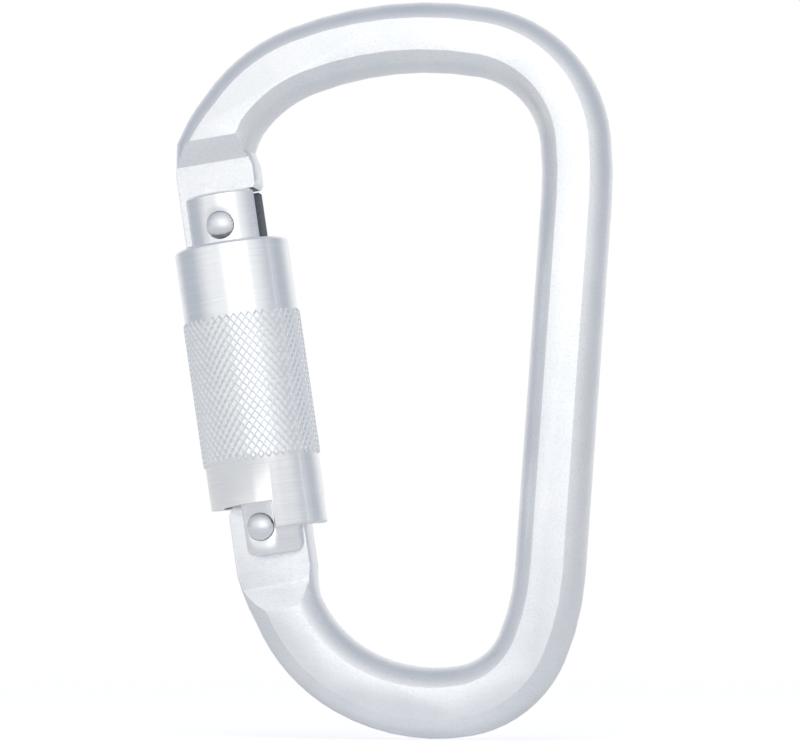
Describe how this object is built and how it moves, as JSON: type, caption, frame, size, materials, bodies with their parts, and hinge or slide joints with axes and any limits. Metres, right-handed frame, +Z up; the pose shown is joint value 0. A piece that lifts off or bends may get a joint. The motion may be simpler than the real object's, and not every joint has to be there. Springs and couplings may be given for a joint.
{
  "type": "locking carabiner",
  "caption": "Steel carabiner with a forged bent-bar body, a sprung riveted gate and a knurled twist sleeve that locks the gate.",
  "frame": {"origin": "underside of the crown at its highest point, where the upper load hangs, in the middle of the bar's thickness", "axes": "+Z up along the load line, +X from the gate towards the spine, Y through the thickness, -Y being the front"},
  "size_m": [0.0692, 0.0186, 0.1149],
  "materials": {
    "zinc_forged": "forged steel bar, bright zinc plated, satin on the pressed faces",
    "zinc_turned": "turned steel, bright zinc plated",
    "zinc_sleeve": "turned steel with a diamond knurl, bright zinc plated",
    "rivet_steel": "headed steel rivet, bright",
    "bush_steel": "turned steel",
    "spring_steel": "drawn spring wire"
  },
  "bodies": {
    "frame": {"body": "zinc_forged"},
    "gate": {"gate_barrel": "zinc_turned", "hinge_rivet": "rivet_steel", "latch_rivet": "rivet_steel", "gate_spring": "spring_steel"},
    "sleeve": {"lock_sleeve": "zinc_sleeve", "sleeve_bush": "bush_steel", "sleeve_spring": "spring_steel"},
    "plunger": {"gate_plunger": "bush_steel"}
  },
  "joints": [
    {"name": "gate_swing", "type": "hinge", "parent": "frame", "child": "gate", "pos_m": [-0.02397, 0, -0.07107], "axis": [0, 1, 0], "range_deg": [0, 20], "stiffness_Nm_per_rad": 0.3, "springref_deg": -45.84},
    {"name": "sleeve_turn", "type": "hinge", "parent": "gate", "child": "sleeve", "pos_m": [-0.02348, 0, -0.071], "axis": [-0.1478, 0, 0.989], "range_deg": [0, 75], "stiffness_Nm_per_rad": 0.02, "springref_deg": -85.94, "deforming": ["sleeve_spring"]},
    {"name": "plunger_slide", "type": "slide", "parent": "gate", "child": "plunger", "axis": [-0.1478, 0, 0.989], "range_m": [0, 0.0009], "deforming": ["gate_spring"]}
  ],
  "couplings": [
    {"joint": "plunger_slide", "follows": "gate_swing", "m_per_rad": 0.002}
  ]
}
